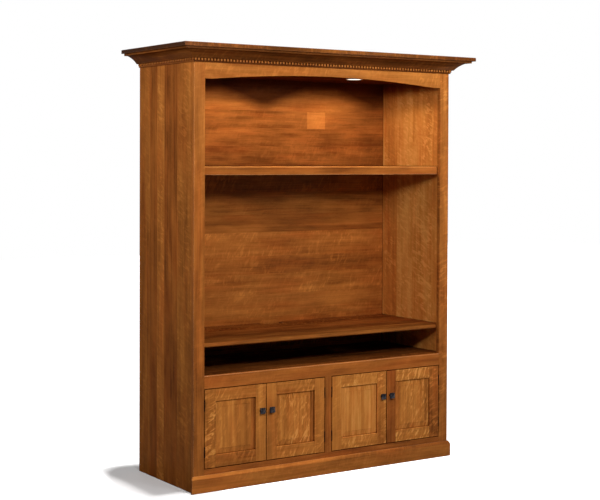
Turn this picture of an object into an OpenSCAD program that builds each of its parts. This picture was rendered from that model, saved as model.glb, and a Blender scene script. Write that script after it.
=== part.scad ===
// Entertainment wall unit: face-frame case with a display niche, a television bay,
// a component bay and four inset frame-and-panel doors. Millimetres, +Z up, the front faces -Y.
// The origin is on the floor, under the middle of the whole unit with its crown.

/* [Case] */
// Height from the floor to the top of the cap board
total_h = 2083; // [1950:1:2250]
// Width of the case without its crown
case_w = 1500; // [1350:1:1700]
// Depth of the case from the front of the face frame to the back edges of the sides
case_d = 567; // [480:1:650]
// Thickness of the side panels
side_t = 19; // [16:0.5:24]
// Thickness of the fixed boards, the partition and the adjustable shelves
board_t = 19; // [16:0.5:24]
// Depth of the grooves that the fixed boards are let into
dado = 6; // [4:0.5:8]
// Depth of the rabbet for the back panels
rabbet_d = 10; // [8:0.5:16]
// Width of the rabbet for the back panels
rabbet_w = 10; // [7:0.5:12]
// Thickness of the back panels
back_t = 6; // [4:0.5:7]

/* [Face frame] */
// Thickness of the face frame
frame_t = 22; // [19:0.5:26]
// Width of the two outer stiles
stile_w = 57; // [45:1:70]
// Width of the mullion between the two pairs of doors
mullion_w = 38; // [34:1:60]
// Height of the bottom rail
bottom_rail_h = 106; // [95:1:125]
// Clear height of the door openings
door_open_h = 375; // [330:1:420]
// Height of the rail between the doors and the component bay
mid_rail_h = 59; // [50:1:80]
// Height of the top rail at its flat shoulders
top_rail_h = 140; // [130:1:160]
// Rise of the arch above the shoulders
arch_rise = 33; // [15:1:45]
// Length of each flat shoulder
arch_shoulder = 43; // [20:1:80]
// Radius on the outer front edges of the stiles
corner_r = 3; // [1:0.5:6]

/* [Shelves] */
// Clear height of the component bay
bay_h = 130; // [110:1:160]
// Thickness of the television shelf
tv_shelf_t = 20; // [18:0.5:26]
// Radius on both front edges of the television shelf
tv_shelf_r = 8; // [2:0.5:8.5]
// How far the television shelf sits behind the back of the face frame
tv_shelf_set = 2; // [0:0.5:10]
// Clear height of the television bay
tv_bay_h = 786; // [700:1:850]
// Height of the nosing on the upper shelf
nosing_h = 40; // [30:1:60]
// Thickness of the nosing on the upper shelf
nosing_t = 22; // [18:1:30]
// Radius on the upper front edge of the nosing
nosing_r = 9; // [4:1:12]
// Ceiling of the niche above the top of the arch
ceiling_up = 10; // [5:1:20]
// Height of the adjustable shelves above the bottom panel
adj_shelf_up = 184; // [160:1:220]
// How far the adjustable shelves sit behind the back of the face frame
adj_shelf_set = 20; // [10:1:60]
// Gap at each end of the adjustable shelves
adj_shelf_gap = 1.5; // [0.5:0.5:3]

/* [Shelf pins] */
// Radius of the shelf pins
shelf_pin_r = 2.5; // [2:0.5:3.5]
// Length of the shelf pins in the wood
shelf_pin_in = 8; // [6:0.5:9]
// Distance between the holes of a row
hole_pitch = 32; // [24:1:40]
// Number of holes above and below the one in use
hole_steps = 2; // [0:1:3]
// Distance of the front row from the back of the face frame
hole_front = 60; // [50:1:90]
// Distance of the back row from the back panel
hole_back = 60; // [50:1:90]
// Length of the flat tab that carries the shelf
tab_l = 9; // [7:0.5:12]
// Width of the flat tab
tab_w = 10; // [8:0.5:14]
// Thickness of the flat tab
tab_t = 3; // [2:0.5:4]

/* [Crown] */
// How far the cap board stands out past the front and both sides
crown_out = 100; // [85:1:120]
// Thickness of the cap board
cap_t = 19; // [16:0.5:25]
// Radius on the upper edge of the cap board
cap_r = 4; // [2:0.5:7]
// Distance from the edge of the cap board in to the fillet
cap_lip = 15; // [8:1:20]
// Height of the fillet under the cap board
fillet_h = 10; // [6:0.5:14]
// Flat step from the fillet in to the cove
cove_step = 19; // [10:1:22]
// Height of the cove
cove_h = 37; // [28:1:45]
// How far the lower edge of the cove stands out past the case
cove_foot = 18; // [14:1:24]
// Depth of the cove behind the straight line between its edges
cove_sag = 4.5; // [3:0.5:10]
// Height at which the back of the cove moulding meets the case, above its lower edge
cove_seat = 14; // [8:1:24]
// Width at which the top of the cove moulding meets the cap board
cove_top_seat = 40; // [25:1:50]

/* [Dentil strip] */
// Height of the blocks
dentil_h = 10; // [7:0.5:12]
// Width of each block
dentil_w = 9; // [6:0.5:11]
// Distance from block to block
dentil_pitch = 17; // [14:0.5:22]
// How far the blocks stand out past the case
dentil_out = 11; // [9:0.5:13]
// How far the strip between the blocks stands out past the case
dentil_back = 5; // [3:0.5:7]
// Height of the plain band below the blocks
band_h = 7; // [4:0.5:9]
// How far the plain band stands out past the case
band_out = 6; // [5:0.5:10]

/* [Base moulding] */
// Height of the base moulding
base_h = 80; // [65:1:90]
// How far the base moulding stands out past the face frame and both sides
base_out = 12.5; // [8:0.5:20]
// Height of the bevel along its top
base_bevel = 15; // [8:0.5:20]
// Width of the flat that is left along the top
base_top = 3; // [1:0.5:6]

/* [Doors] */
// Gap around each door
door_gap = 3.8; // [2.6:0.1:4]
// Thickness of the doors
door_t = 20; // [18:0.5:21]
// Width of the door stiles
door_stile_w = 56; // [45:1:70]
// Height of the door rails
door_rail_h = 58; // [45:1:75]
// Width of the groove in the stiles and rails
groove_w = 6; // [5:0.5:7]
// Depth of the groove in the stiles and rails
groove_d = 10; // [8:0.5:12]
// Distance from the front of the door to the groove
groove_set = 8; // [6:0.5:8]
// Gap between the panel's edge and the bottom of the groove
panel_gap = 1; // [0.5:0.5:2]
// Play of the panel's tongue on each side of the groove's walls
panel_play = 0.2; // [0.1:0.1:0.4]
// Width of the bevelled border round the raised field
bevel_w = 27; // [15:1:34]
// Depth of the field below the front of the door
field_set = 3; // [2:0.5:4]
// Height of the small step round the field
field_step = 1.5; // [0.5:0.5:2]

/* [Knobs] */
// Width and height of the square head
knob_w = 28; // [20:1:36]
// Distance from the front of the door to the tip of the head
knob_out = 21; // [20:1:26]
// Thickness of the head at its rim
knob_rim = 5; // [3:0.5:7]
// Height of the pyramid on the head
knob_rise = 6; // [3:0.5:8]
// Width of the flat at the tip
knob_tip = 4; // [1:0.5:8]
// Radius of the neck
knob_neck_r = 6; // [4:0.5:9]
// Radius of the foot
knob_foot_r = 9; // [7:0.5:12]
// Thickness of the foot
knob_foot_t = 3; // [2:0.5:4]
// Distance of the knob's centre from the meeting edge of the door
knob_in = 25; // [18:1:30]
// Height of the knob's centre above the door's lower edge
knob_up = 241; // [150:1:300]

/* [Hinges] */
// Length of each hinge
hinge_l = 50; // [40:1:70]
// Distance from the ends of the door to the middle of the hinges
hinge_in = 75; // [50:1:110]
// Radius of the knuckles
knuckle_r = 2.8; // [2.6:0.1:3.2]
// Radius of the hinge pins
hinge_pin_r = 1.2; // [1:0.1:1.5]
// Width of the leaves
leaf_w = 13; // [10:0.5:14]
// Gap between the two leaves, and between neighbouring knuckles
leaf_gap = 0.4; // [0.3:0.1:0.6]
// Gap between the knuckles and the wood around them
knuckle_room = 0.5; // [0.4:0.1:0.8]

/* [Catches and lights] */
// Length of each magnetic catch
catch_l = 42; // [30:1:60]
// Depth of the catches from front to back
catch_d = 22; // [16:1:30]
// How far the catches reach below the mid rail
catch_drop = 22; // [14:1:30]
// How far the catches reach up behind the mid rail
catch_seat = 26; // [18:1:40]
// Gap between a catch and the back of its door
catch_gap = 0.4; // [0.3:0.1:0.6]
// Distance of the middle of a catch from the meeting edge of its door
catch_in = 60; // [40:1:90]
// Radius of the trim of the puck lights
puck_r = 43; // [30:1:48]
// Thickness of that trim below the ceiling
puck_h = 4; // [3:0.5:6]
// How far the trim reaches past its bore in the ceiling
puck_lip = 3.5; // [2.5:0.5:4]
// Height of the can above the trim
can_h = 14; // [10:1:15]
// Gap between the can and its bore
can_gap = 0.5; // [0.4:0.1:1]
// Width of the ring round the lens
puck_ring = 7; // [6:0.5:12]
// Thickness of the lens
lens_t = 4; // [3:0.5:6]
// How far the lens sits up inside the ring
lens_set = 1; // [0.5:0.5:2]
// Distance of the puck lights from the middle of the case
puck_x = 289; // [200:1:400]
// Distance of the puck lights behind the front of the face frame
puck_y = 204; // [120:1:260]

/* [Cable ways] */
// Width of each cut-out in the back of the component bay
port_w = 100; // [60:1:160]
// Height of each cut-out
port_h = 50; // [30:1:70]
// Height of the cut-outs above the deck
port_up = 52; // [30:1:55]
// Distance of the cut-outs from the middle of the case
port_x = 365; // [250:1:500]
// Width of the cable notch in the back edge of the television shelf
notch_w = 120; // [60:1:200]
// Depth of that notch
notch_d = 40; // [20:1:60]

/* [Fits] */
// Play between a shelf pin or hinge pin and its hole, on the radius
pin_play = 0.05; // [0.02:0.01:0.1]
// Gap between the edges of neighbouring back panels, and at the rabbet's sides
back_gap = 0.5; // [0.3:0.1:1]

/* [Hidden] */

oak_frame = [0.66, 0.36, 0.13];
oak_side = [0.52, 0.27, 0.10];
oak_panel = [0.70, 0.42, 0.17];
oak_crown = [0.45, 0.22, 0.08];
bronze = [0.16, 0.14, 0.15];
steel = [0.55, 0.55, 0.57];
white_plastic = [0.90, 0.88, 0.84];
milk_glass = [0.95, 0.93, 0.85];

eps = 0.01;
reach = 1;
half_w = case_w / 2;
in_x = half_w - side_t;
open_x = half_w - stile_w;
face_y = -(case_d + crown_out) / 2 + crown_out;
frame_y = face_y + frame_t;
back_y = face_y + case_d;
panel_y = back_y - rabbet_d;
frame_top = total_h - cap_t;
rail_z = frame_top - top_rail_h;
ceiling_z = rail_z + arch_rise + ceiling_up;
mid_z0 = bottom_rail_h + door_open_h;
mid_z1 = mid_z0 + mid_rail_h;
deck_z = mid_z1 - board_t;
tv_z0 = mid_z1 + bay_h;
tv_z1 = tv_z0 + tv_shelf_t;
nosing_z0 = tv_z1 + tv_bay_h;
nosing_z1 = nosing_z0 + nosing_h;
upper_z = nosing_z1 - board_t;
bottom_z = bottom_rail_h - board_t;
adj_z = bottom_rail_h + adj_shelf_up;
dado_x = in_x + dado;
rabbet_x = in_x + rabbet_w;
part_x = board_t / 2;

// Heights and thicknesses of the boards that are let into the sides
fixed_boards = [
    [bottom_z, board_t], [deck_z, board_t], [tv_z0, tv_shelf_t], [upper_z, board_t], [ceiling_z, board_t]
];

// Where the back panels meet, at the middle of the board behind each joint
back_joint_low = tv_z0 + tv_shelf_t / 2;
back_joint_high = upper_z + board_t / 2;

door_w = (open_x - mullion_w / 2 - 3 * door_gap) / 2;
door_h = door_open_h - 2 * door_gap;
door_z = bottom_rail_h + door_gap;
// Hinge edge and direction of each door: left outer, left inner, right inner, right outer
outer_edge = open_x - door_gap;
inner_edge = mullion_w / 2 + door_gap;
LEFT_OUTER = [-outer_edge, 1];
LEFT_INNER = [-inner_edge, -1];
RIGHT_INNER = [inner_edge, 1];
RIGHT_OUTER = [outer_edge, -1];
DOORS = [LEFT_OUTER, LEFT_INNER, RIGHT_INNER, RIGHT_OUTER];

// Front and back of the groove in the stiles and rails, behind the front of the door
groove = [groove_set, groove_set + groove_w];

knuckles = 5;
knuckle_l = (hinge_l - (knuckles - 1) * leaf_gap) / knuckles;
room_r = knuckle_r + knuckle_room;
leaf_t = (door_gap - leaf_gap) / 2;
hinge_zs = [hinge_in - hinge_l / 2, door_h - hinge_in - hinge_l / 2];

pin_z = adj_z - shelf_pin_r;
hole_ys = [frame_y + hole_front, panel_y - hole_back];

cove_low = fillet_h + cove_h;
strip_h = dentil_h + band_h;

// A board between two opposite corners
module board(lo, hi) {
    translate(lo) cube(hi - lo);
}

// An outline in Y and Z, drawn out along X from x0 to x1
module along_x(x0, x1) {
    translate([x0, 0, 0]) rotate([90, 0, 90]) linear_extrude(x1 - x0) children();
}

// An outline in X and Z, drawn out along Y from y0 to y1
module along_y(y0, y1) {
    translate([0, y1, 0]) rotate([90, 0, 0]) linear_extrude(y1 - y0) children();
}

// A rectangle whose corner at the lower left has the radius r
module eased(size, r) {
    translate([r, 0]) square([size[0] - r, size[1]]);
    translate([0, r]) square([size[0], size[1] - r]);
    translate([r, r]) circle(r, $fn = 48);
}

// Side panel of the left side, with its grooves, rabbet and shelf-pin holes
module side_panel() {
    difference() {
        board([-half_w, frame_y, 0], [-in_x, back_y, frame_top]);
        for (b = fixed_boards)
            board([-dado_x, frame_y - reach, b[0]], [-in_x + reach, panel_y, b[0] + b[1]]);
        board([-rabbet_x, panel_y, -reach], [-in_x + reach, back_y + reach, frame_top + reach]);
        for (y = hole_ys, k = [-hole_steps : hole_steps])
            translate([-in_x - shelf_pin_in - reach, y, pin_z + k * hole_pitch])
                rotate([0, 90, 0])
                    cylinder(r = shelf_pin_r + pin_play, h = shelf_pin_in + 2 * reach, $fn = 24);
    }
}

module left_side_panel() {
    color(oak_side) side_panel();
}

module right_side_panel() {
    color(oak_side) mirror([1, 0, 0]) side_panel();
}

// Room for the knuckles of the hinges of one door
module knuckle_rooms(door) {
    for (z = hinge_zs)
        translate([door[0] - door[1] * door_gap / 2, face_y, door_z + z - knuckle_room])
            cylinder(r = room_r, h = hinge_l + 2 * knuckle_room, $fn = 32);
}

module left_frame_stile() {
    color(oak_frame) difference() {
        translate([-half_w, face_y, 0]) linear_extrude(frame_top) eased([stile_w, frame_t], corner_r);
        knuckle_rooms(LEFT_OUTER);
    }
}

module right_frame_stile() {
    color(oak_frame) mirror([1, 0, 0]) difference() {
        translate([-half_w, face_y, 0]) linear_extrude(frame_top) eased([stile_w, frame_t], corner_r);
        knuckle_rooms(LEFT_OUTER);
    }
}

// Top rail, cut from below by one arc between two flat shoulders
module arched_top_rail() {
    half_chord = open_x - arch_shoulder;
    arch_r = (half_chord * half_chord + arch_rise * arch_rise) / (2 * arch_rise);
    color(oak_frame) along_y(face_y, frame_y) difference() {
        translate([-open_x, rail_z]) square([2 * open_x, top_rail_h]);
        translate([0, rail_z + arch_rise - arch_r]) circle(arch_r, $fn = 720);
    }
}

module mid_rail() {
    color(oak_frame) board([-open_x, face_y, mid_z0], [open_x, frame_y, mid_z1]);
}

module bottom_rail() {
    color(oak_frame) board([-open_x, face_y, 0], [open_x, frame_y, bottom_rail_h]);
}

module centre_mullion() {
    color(oak_frame) difference() {
        board([-mullion_w / 2, face_y, bottom_rail_h], [mullion_w / 2, frame_y, mid_z0]);
        knuckle_rooms(LEFT_INNER);
        knuckle_rooms(RIGHT_INNER);
    }
}

// A board let into both sides
module fixed_board(z, t, y0) {
    board([-dado_x, y0, z], [dado_x, panel_y, z + t]);
}

// Ceiling of the niche, bored for the cans of the puck lights
module top_panel() {
    color(oak_panel) difference() {
        fixed_board(ceiling_z, board_t, frame_y);
        for (x = [-puck_x, puck_x])
            translate([x, face_y + puck_y, ceiling_z - reach])
                cylinder(r = puck_r - puck_lip, h = board_t + 2 * reach, $fn = 72);
    }
}

module upper_shelf() {
    color(oak_frame) fixed_board(upper_z, board_t, frame_y + nosing_t);
}

// Thick front edge of the upper shelf, rounded along its upper edge
module upper_shelf_nosing() {
    color(oak_frame) along_x(-in_x, in_x)
        translate([frame_y, nosing_z1]) mirror([0, 1]) eased([nosing_t, nosing_h], nosing_r);
}

// Television shelf with a rounded front edge and a cable notch behind
module tv_shelf() {
    y0 = frame_y + tv_shelf_set;
    r = tv_shelf_r;
    color(oak_frame) difference() {
        along_x(-dado_x, dado_x) {
            translate([y0 + r, tv_z0]) square([panel_y - y0 - r, tv_shelf_t]);
            translate([y0, tv_z0 + r]) square([r + reach, tv_shelf_t - 2 * r]);
            for (z = [tv_z0 + r, tv_z1 - r])
                translate([y0 + r, z]) circle(r, $fn = 48);
        }
        board([-notch_w / 2, panel_y - notch_d, tv_z0 - reach],
              [notch_w / 2, panel_y + reach, tv_z1 + reach]);
    }
}

module component_deck() {
    color(oak_frame) difference() {
        fixed_board(deck_z, board_t, frame_y);
        board([-part_x, frame_y - reach, deck_z - reach], [part_x, panel_y + reach, deck_z + dado]);
    }
}

module bottom_panel() {
    color(oak_frame) difference() {
        fixed_board(bottom_z, board_t, frame_y);
        board([-part_x, frame_y - reach, bottom_rail_h - dado],
              [part_x, panel_y + reach, bottom_rail_h + reach]);
    }
}

// Partition behind the mullion, let into the bottom panel and the deck
module centre_partition() {
    color(oak_frame) difference() {
        board([-part_x, frame_y, bottom_rail_h - dado], [part_x, panel_y, deck_z + dado]);
        for (y = hole_ys, k = [-hole_steps : hole_steps])
            translate([-part_x - reach, y, pin_z + k * hole_pitch])
                rotate([0, 90, 0]) cylinder(r = shelf_pin_r + pin_play, h = board_t + 2 * reach, $fn = 24);
    }
}

// A back panel in the rabbet, between two heights
module back_panel(z0, z1) {
    board([-rabbet_x + back_gap, panel_y, z0], [rabbet_x - back_gap, panel_y + back_t, z1]);
}

module upper_back_panel() {
    color(oak_panel) back_panel(back_joint_high + back_gap / 2, frame_top);
}

module tv_back_panel() {
    color(oak_panel) back_panel(back_joint_low + back_gap / 2, back_joint_high - back_gap / 2);
}

// Lowest back panel, with the cable cut-outs of the component bay
module lower_back_panel() {
    z = mid_z1 + port_up;
    color(oak_panel) difference() {
        back_panel(bottom_z, back_joint_low - back_gap / 2);
        for (x = [-port_x, port_x])
            board([x - port_w / 2, panel_y - reach, z], [x + port_w / 2, back_y, z + port_h]);
    }
}

// Plan of a moulding that runs along the front, mitred at both corners
module front_mitre(out) {
    polygon([
        [-half_w, face_y], [half_w, face_y], [half_w + out, face_y - out], [-half_w - out, face_y - out]
    ]);
}

// Plan of a moulding that runs along the left side, mitred at the front corner
module left_mitre(out) {
    polygon([
        [-half_w, face_y], [-half_w - out, face_y - out], [-half_w - out, back_y], [-half_w, back_y]
    ]);
}

// Cap board, rounded along the upper edge of the front and of both ends
module crown_cap() {
    x1 = half_w + crown_out;
    y0 = face_y - crown_out;
    color(oak_crown) intersection() {
        along_x(-x1, x1) translate([y0, total_h]) mirror([0, 1]) eased([back_y - y0, cap_t], cap_r);
        along_y(y0, back_y) for (s = [0, 1]) mirror([s, 0])
            translate([-x1, total_h]) mirror([0, 1]) eased([x1 + eps, cap_t], cap_r);
    }
}

// Outline of the fillet and cove: first value out from the case, second value up from the frame's top
module cove_outline() {
    low = [cove_foot, -cove_low];
    high = [crown_out - cap_lip - cove_step, -fillet_h];
    chord = norm(high - low);
    radius = chord * chord / (8 * cove_sag) + cove_sag / 2;
    outward = [high[1] - low[1], low[0] - high[0]] / chord;
    centre = (low + high) / 2 + outward * (radius - cove_sag);
    difference() {
        polygon([
            [0, -cove_low], low, high, [crown_out - cap_lip, -fillet_h], [crown_out - cap_lip, 0],
            [crown_out - cap_lip - cove_top_seat, 0], [0, cove_seat - cove_low]
        ]);
        intersection() {
            translate(centre) circle(radius, $fn = 180);
            translate([0, -cove_low - reach]) square([crown_out, cove_h + reach]);
        }
    }
}

module crown_front() {
    x1 = half_w + crown_out;
    color(oak_crown) intersection() {
        along_x(-x1, x1) translate([face_y, frame_top]) mirror([1, 0]) cove_outline();
        translate([0, 0, frame_top - cove_low - reach])
            linear_extrude(cove_low + 2 * reach) front_mitre(crown_out);
    }
}

module side_crown() {
    intersection() {
        along_y(face_y - crown_out, back_y) translate([-half_w, frame_top]) mirror([1, 0]) cove_outline();
        translate([0, 0, frame_top - cove_low - reach])
            linear_extrude(cove_low + 2 * reach) left_mitre(crown_out);
    }
}

module crown_left() {
    color(oak_crown) side_crown();
}

module crown_right() {
    color(oak_crown) mirror([1, 0, 0]) side_crown();
}

// Plan of a toothed strip of the given length along X, standing out towards -Y
module comb(length) {
    n = floor(length / dentil_pitch);
    translate([-length / 2, -dentil_back]) square([length, dentil_back]);
    for (i = [0 : n - 1])
        translate([(i - (n - 1) / 2) * dentil_pitch - dentil_w / 2, -dentil_out])
            square([dentil_w, dentil_out]);
}

module dentil_front() {
    z = frame_top - cove_low;
    length = case_w + 2 * dentil_out;
    color(oak_crown) intersection() {
        union() {
            translate([0, face_y, z - dentil_h]) linear_extrude(dentil_h) comb(length);
            board([-half_w - band_out, face_y - band_out, z - strip_h],
                  [half_w + band_out, face_y, z - dentil_h]);
        }
        translate([0, 0, z - strip_h - reach]) linear_extrude(strip_h + 2 * reach) front_mitre(dentil_out);
    }
}

module side_dentils() {
    z = frame_top - cove_low;
    length = case_d + dentil_out;
    intersection() {
        union() {
            translate([-half_w, back_y - length / 2, z - dentil_h]) rotate([0, 0, -90])
                linear_extrude(dentil_h) comb(length);
            board([-half_w - band_out, face_y - band_out, z - strip_h],
                  [-half_w, back_y, z - dentil_h]);
        }
        translate([0, 0, z - strip_h - reach]) linear_extrude(strip_h + 2 * reach) left_mitre(dentil_out);
    }
}

module dentil_left() {
    color(oak_crown) side_dentils();
}

module dentil_right() {
    color(oak_crown) mirror([1, 0, 0]) side_dentils();
}

// Base moulding across the front, bevelled along the front and both ends
module base_moulding() {
    x1 = half_w + base_out;
    z1 = base_h - base_bevel;
    run = base_out - base_top;
    color(oak_frame) intersection() {
        along_x(-x1, x1) polygon([
            [face_y, 0], [face_y, base_h], [face_y - base_top, base_h],
            [face_y - base_out, z1], [face_y - base_out, 0]
        ]);
        along_y(face_y - base_out, face_y) polygon([
            [-x1, 0], [-x1, z1], [-x1 + run, base_h], [x1 - run, base_h], [x1, z1], [x1, 0]
        ]);
    }
}

// Adjustable shelf of the left compartment
module adjustable_shelf() {
    board([-in_x + adj_shelf_gap, frame_y + adj_shelf_set, adj_z],
          [-part_x - adj_shelf_gap, panel_y - adj_shelf_gap, adj_z + board_t]);
}

module left_adjustable_shelf() {
    color(oak_frame) adjustable_shelf();
}

module right_adjustable_shelf() {
    color(oak_frame) mirror([1, 0, 0]) adjustable_shelf();
}

// Shelf pin in a hole of the wall at x = 0, with its flat tab towards +X
module shelf_pin() {
    translate([-shelf_pin_in, 0, -shelf_pin_r]) rotate([0, 90, 0])
        cylinder(r = shelf_pin_r, h = shelf_pin_in + reach, $fn = 24);
    board([0, -tab_w / 2, -tab_t], [tab_l, tab_w / 2, 0]);
}

module shelf_pins() {
    color(steel) for (s = [0, 1], y = hole_ys) mirror([s, 0, 0]) {
        translate([-in_x, y, adj_z]) shelf_pin();
        translate([-part_x, y, adj_z]) mirror([1, 0, 0]) shelf_pin();
    }
}

// Puck lights: a trim under the ceiling and a can in its bore
module puck_light_housings() {
    color(white_plastic) for (x = [-puck_x, puck_x])
        translate([x, face_y + puck_y, ceiling_z - puck_h]) difference() {
            union() {
                cylinder(r = puck_r, h = puck_h, $fn = 72);
                cylinder(r = puck_r - puck_lip - can_gap, h = puck_h + can_h, $fn = 72);
            }
            translate([0, 0, -reach])
                cylinder(r = puck_r - puck_ring, h = lens_t + lens_set + reach, $fn = 72);
        }
}

module puck_light_lenses() {
    color(milk_glass) for (x = [-puck_x, puck_x])
        translate([x, face_y + puck_y, ceiling_z - puck_h + lens_set])
            cylinder(r = puck_r - puck_ring - pin_play, h = lens_t, $fn = 72);
}

// One hinge leaf, its axis at x = y = 0, its plate towards +X, with knuckles first, first + 2 and so on
module hinge_leaf(first) {
    difference() {
        union() {
            board([leaf_gap / 2, room_r, 0], [leaf_gap / 2 + leaf_t, room_r + leaf_w, hinge_l]);
            for (k = [first : 2 : knuckles - 1])
                translate([0, 0, k * (knuckle_l + leaf_gap)]) {
                    cylinder(r = knuckle_r, h = knuckle_l, $fn = 32);
                    board([leaf_gap / 2, 0, 0], [leaf_gap / 2 + leaf_t, room_r + eps, knuckle_l]);
                }
        }
        translate([0, 0, -reach]) cylinder(r = hinge_pin_r + pin_play, h = hinge_l + 2 * reach, $fn = 32);
    }
}

// Places its children at the lower end of each hinge axis of a door, +X towards the door
module at_hinges(door) {
    for (z = hinge_zs)
        translate([door[0] - door[1] * door_gap / 2, face_y, door_z + z])
            mirror([door[1] < 0 ? 1 : 0, 0, 0]) children();
}

module hinge_frame_leaves() {
    color(bronze) for (d = DOORS) at_hinges(d) mirror([1, 0, 0]) hinge_leaf(0);
}

module hinge_pins() {
    color(bronze) for (d = DOORS) at_hinges(d) cylinder(r = hinge_pin_r, h = hinge_l, $fn = 32);
}

// Places its children in a door's own frame: x from the hinge edge, y back from the front, z up
module at_door(door) {
    translate([door[0], face_y, door_z]) mirror([door[1] < 0 ? 1 : 0, 0, 0]) children();
}

// Catches on the back of the mid rail, each reaching down behind its door
module magnetic_catches() {
    front = door_t + catch_gap;
    color(bronze) for (d = DOORS) at_door(d)
        translate([0, 0, door_open_h - door_gap])
            along_x(door_w - catch_in - catch_l / 2, door_w - catch_in + catch_l / 2) polygon([
                [front, -catch_drop], [front + catch_d, -catch_drop],
                [front + catch_d, catch_seat], [frame_t, catch_seat], [frame_t, 0], [front, 0]
            ]);
}

module hinge_stile(door) {
    color(oak_frame) difference() {
        at_door(door) difference() {
            board([0, 0, 0], [door_stile_w, door_t, door_h]);
            board([door_stile_w - groove_d, groove[0], -reach],
                  [door_stile_w + reach, groove[1], door_h + reach]);
        }
        knuckle_rooms(door);
    }
}

module meeting_stile(door) {
    color(oak_frame) at_door(door) difference() {
        board([door_w - door_stile_w, 0, 0], [door_w, door_t, door_h]);
        board([door_w - door_stile_w - reach, groove[0], -reach],
              [door_w - door_stile_w + groove_d, groove[1], door_h + reach]);
    }
}

// Lower rail with its stub tenons and the groove along its upper edge
module door_rail() {
    difference() {
        union() {
            board([door_stile_w, 0, 0], [door_w - door_stile_w, door_t, door_rail_h]);
            board([door_stile_w - groove_d, groove[0], 0],
                  [door_w - door_stile_w + groove_d, groove[1], door_rail_h - groove_d]);
        }
        board([door_stile_w - reach, groove[0], door_rail_h - groove_d],
              [door_w - door_stile_w + reach, groove[1], door_rail_h + reach]);
    }
}

module door_rails(door) {
    color(oak_frame) at_door(door) {
        door_rail();
        translate([0, 0, door_h]) mirror([0, 0, 1]) door_rail();
    }
}

// Section of the raised panel between the frame's inner edges at 0 and span, y back from the front
module panel_section(span) {
    edge = groove_d - panel_gap;
    front = groove[0] + panel_play;
    back = groove[1] - panel_play;
    polygon([
        [-edge, front], [0, front], [bevel_w, field_set + field_step], [bevel_w, field_set],
        [span - bevel_w, field_set], [span - bevel_w, field_set + field_step],
        [span, front], [span + edge, front], [span + edge, back], [-edge, back]
    ]);
}

// Raised panel, its bevels mitred where the upright and level sections cross
module door_panel(door) {
    wide = door_w - 2 * door_stile_w;
    high = door_h - 2 * door_rail_h;
    edge = groove_d - panel_gap;
    color(oak_panel) at_door(door) translate([door_stile_w, 0, door_rail_h]) intersection() {
        translate([0, 0, -edge]) linear_extrude(high + 2 * edge) panel_section(wide);
        translate([-edge, 0, high]) rotate([0, 90, 0]) linear_extrude(wide + 2 * edge) panel_section(high);
    }
}

// Side outline of the square head: first value across, second value out from the door
module knob_outline() {
    rim = knob_out - knob_rise;
    polygon([
        [-knob_w / 2, knob_rim - rim], [knob_w / 2, knob_rim - rim], [knob_w / 2, -rim],
        [knob_tip / 2, -knob_out], [-knob_tip / 2, -knob_out], [-knob_w / 2, -rim]
    ]);
}

module knob(door) {
    color(bronze) at_door(door) translate([door_w - knob_in, 0, knob_up]) {
        intersection() {
            translate([0, 0, -knob_w / 2]) linear_extrude(knob_w) knob_outline();
            translate([-knob_w / 2, 0, 0]) rotate([0, 90, 0]) linear_extrude(knob_w) knob_outline();
        }
        rotate([90, 0, 0]) cylinder(r = knob_neck_r, h = knob_out - knob_rise, $fn = 48);
        rotate([90, 0, 0]) cylinder(r = knob_foot_r, h = knob_foot_t, $fn = 48);
    }
}

module door_leaves(door) {
    color(bronze) at_hinges(door) hinge_leaf(1);
}

left_side_panel();
right_side_panel();
left_frame_stile();
right_frame_stile();
arched_top_rail();
mid_rail();
bottom_rail();
centre_mullion();
top_panel();
upper_shelf();
upper_shelf_nosing();
tv_shelf();
component_deck();
bottom_panel();
centre_partition();
upper_back_panel();
tv_back_panel();
lower_back_panel();
crown_cap();
crown_front();
crown_left();
crown_right();
dentil_front();
dentil_left();
dentil_right();
base_moulding();
left_adjustable_shelf();
right_adjustable_shelf();
shelf_pins();
puck_light_housings();
puck_light_lenses();
hinge_frame_leaves();
hinge_pins();
magnetic_catches();
hinge_stile(LEFT_OUTER);  // left_outer_hinge_stile
meeting_stile(LEFT_OUTER);  // left_outer_meeting_stile
door_rails(LEFT_OUTER);  // left_outer_rails
door_panel(LEFT_OUTER);  // left_outer_panel
knob(LEFT_OUTER);  // left_outer_knob
door_leaves(LEFT_OUTER);  // left_outer_hinge_leaves
hinge_stile(LEFT_INNER);  // left_inner_hinge_stile
meeting_stile(LEFT_INNER);  // left_inner_meeting_stile
door_rails(LEFT_INNER);  // left_inner_rails
door_panel(LEFT_INNER);  // left_inner_panel
knob(LEFT_INNER);  // left_inner_knob
door_leaves(LEFT_INNER);  // left_inner_hinge_leaves
hinge_stile(RIGHT_INNER);  // right_inner_hinge_stile
meeting_stile(RIGHT_INNER);  // right_inner_meeting_stile
door_rails(RIGHT_INNER);  // right_inner_rails
door_panel(RIGHT_INNER);  // right_inner_panel
knob(RIGHT_INNER);  // right_inner_knob
door_leaves(RIGHT_INNER);  // right_inner_hinge_leaves
hinge_stile(RIGHT_OUTER);  // right_outer_hinge_stile
meeting_stile(RIGHT_OUTER);  // right_outer_meeting_stile
door_rails(RIGHT_OUTER);  // right_outer_rails
door_panel(RIGHT_OUTER);  // right_outer_panel
knob(RIGHT_OUTER);  // right_outer_knob
door_leaves(RIGHT_OUTER);  // right_outer_hinge_leaves
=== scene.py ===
# %% [markdown]
# # An entertainment wall unit in stained oak
# The real unit is a free-standing oak case: a lit display niche on top, a wide open bay in the middle,
# a low open bay below that, and four doors at the bottom. Every piece could be modelled here a second
# time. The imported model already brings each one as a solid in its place, so this lesson only
# gives the pieces their finish, sets up a plain studio and looks at the unit from the front left.
# That way the looks and the construction can't drift apart. All lengths are metres, the floor is
# z = 0 and the front faces -Y.

# %% Load the frame
import math
import random
import bpy
from mathutils import Matrix, Vector


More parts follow.
